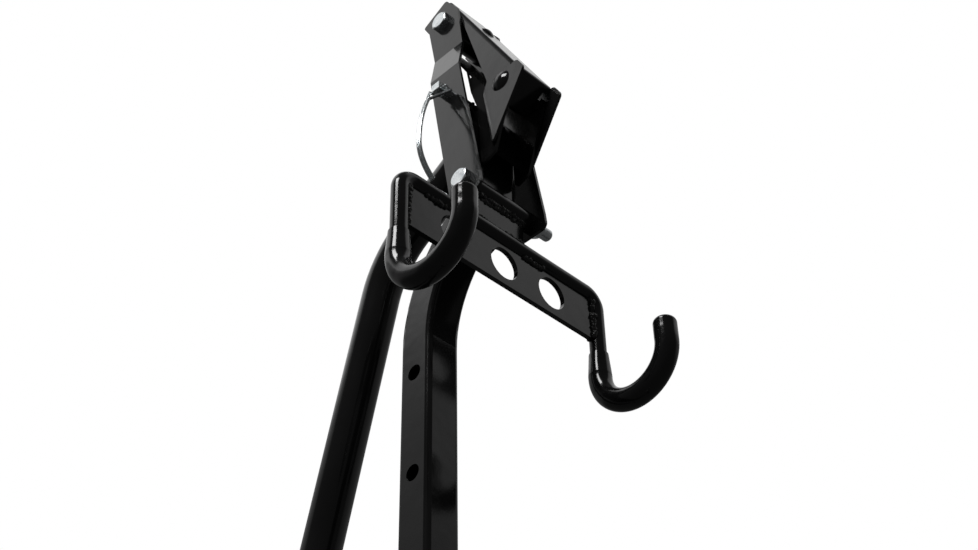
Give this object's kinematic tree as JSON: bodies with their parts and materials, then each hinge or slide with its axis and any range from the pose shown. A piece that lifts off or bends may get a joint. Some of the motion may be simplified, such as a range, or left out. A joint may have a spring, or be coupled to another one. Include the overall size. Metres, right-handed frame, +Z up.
{
  "type": "tubular stand",
  "caption": "Tubular stand with a rod crossbar ending in dipped J-hooks and a folding channel head held by a lock pin",
  "frame": {"origin": "centre of the bounding box on the floor, under the middle of the base", "axes": "+Z up; +Y from the hooks towards the brace; +X along the crossbar"},
  "size_m": [0.467, 0.6023, 1.4014],
  "materials": {
    "powder_coat": "gloss black powder coat",
    "vinyl_dip": "thick black vinyl dip, soft sheen",
    "zinc_plate": "bright zinc plate",
    "black_plastic": "moulded black plastic",
    "rubber_pad": "matt black rubber"
  },
  "bodies": {
    "frame": {"mast": "powder_coat", "brace_tube": "powder_coat", "head_post": "powder_coat", "post_plug": "black_plastic", "front_plate": "powder_coat", "neck_plate": "powder_coat", "pivot_tube": "powder_coat", "lock_tube": "powder_coat", "crossbar_plate": "powder_coat", "hook_rod": "powder_coat", "hook_sleeve_left": "vinyl_dip", "hook_sleeve_right": "vinyl_dip", "front_foot": "powder_coat", "rear_foot": "powder_coat", "base_rail": "powder_coat", "end_caps": "black_plastic", "foot_pads": "rubber_pad", "foot_gusset_left": "powder_coat", "foot_gusset_right": "powder_coat", "foot_bolts": "zinc_plate", "foot_nuts": "zinc_plate"},
    "head": {"side_plate_left": "powder_coat", "side_plate_right": "powder_coat", "head_channel": "powder_coat", "inner_bracket": "powder_coat", "bracket_rivets": "powder_coat", "pivot_bolt": "zinc_plate", "pivot_washers": "zinc_plate", "pivot_nut": "zinc_plate", "thrust_washers": "black_plastic", "top_bolt": "zinc_plate", "top_washers": "zinc_plate", "top_nut": "zinc_plate", "top_spacer": "powder_coat", "web_bolt": "powder_coat", "web_nut": "zinc_plate"},
    "pin": {"lock_pin": "zinc_plate", "detent_ball": "zinc_plate"},
    "bail": {"pin_bail": "zinc_plate"}
  },
  "joints": [
    {"name": "head_fold", "type": "hinge", "parent": "frame", "child": "head", "pos_m": [0, -0.173, 1.103], "axis": [1, 0, 0], "range_deg": [0, 90]},
    {"name": "pin_slide", "type": "slide", "parent": "frame", "child": "pin", "axis": [-1, 0, 0], "range_m": [0, 0.105]},
    {"name": "bail_swing", "type": "hinge", "parent": "pin", "child": "bail", "pos_m": [-0.056, -0.1535, 1.231], "axis": [0, 1, 0], "range_deg": [0, 110]}
  ]
}
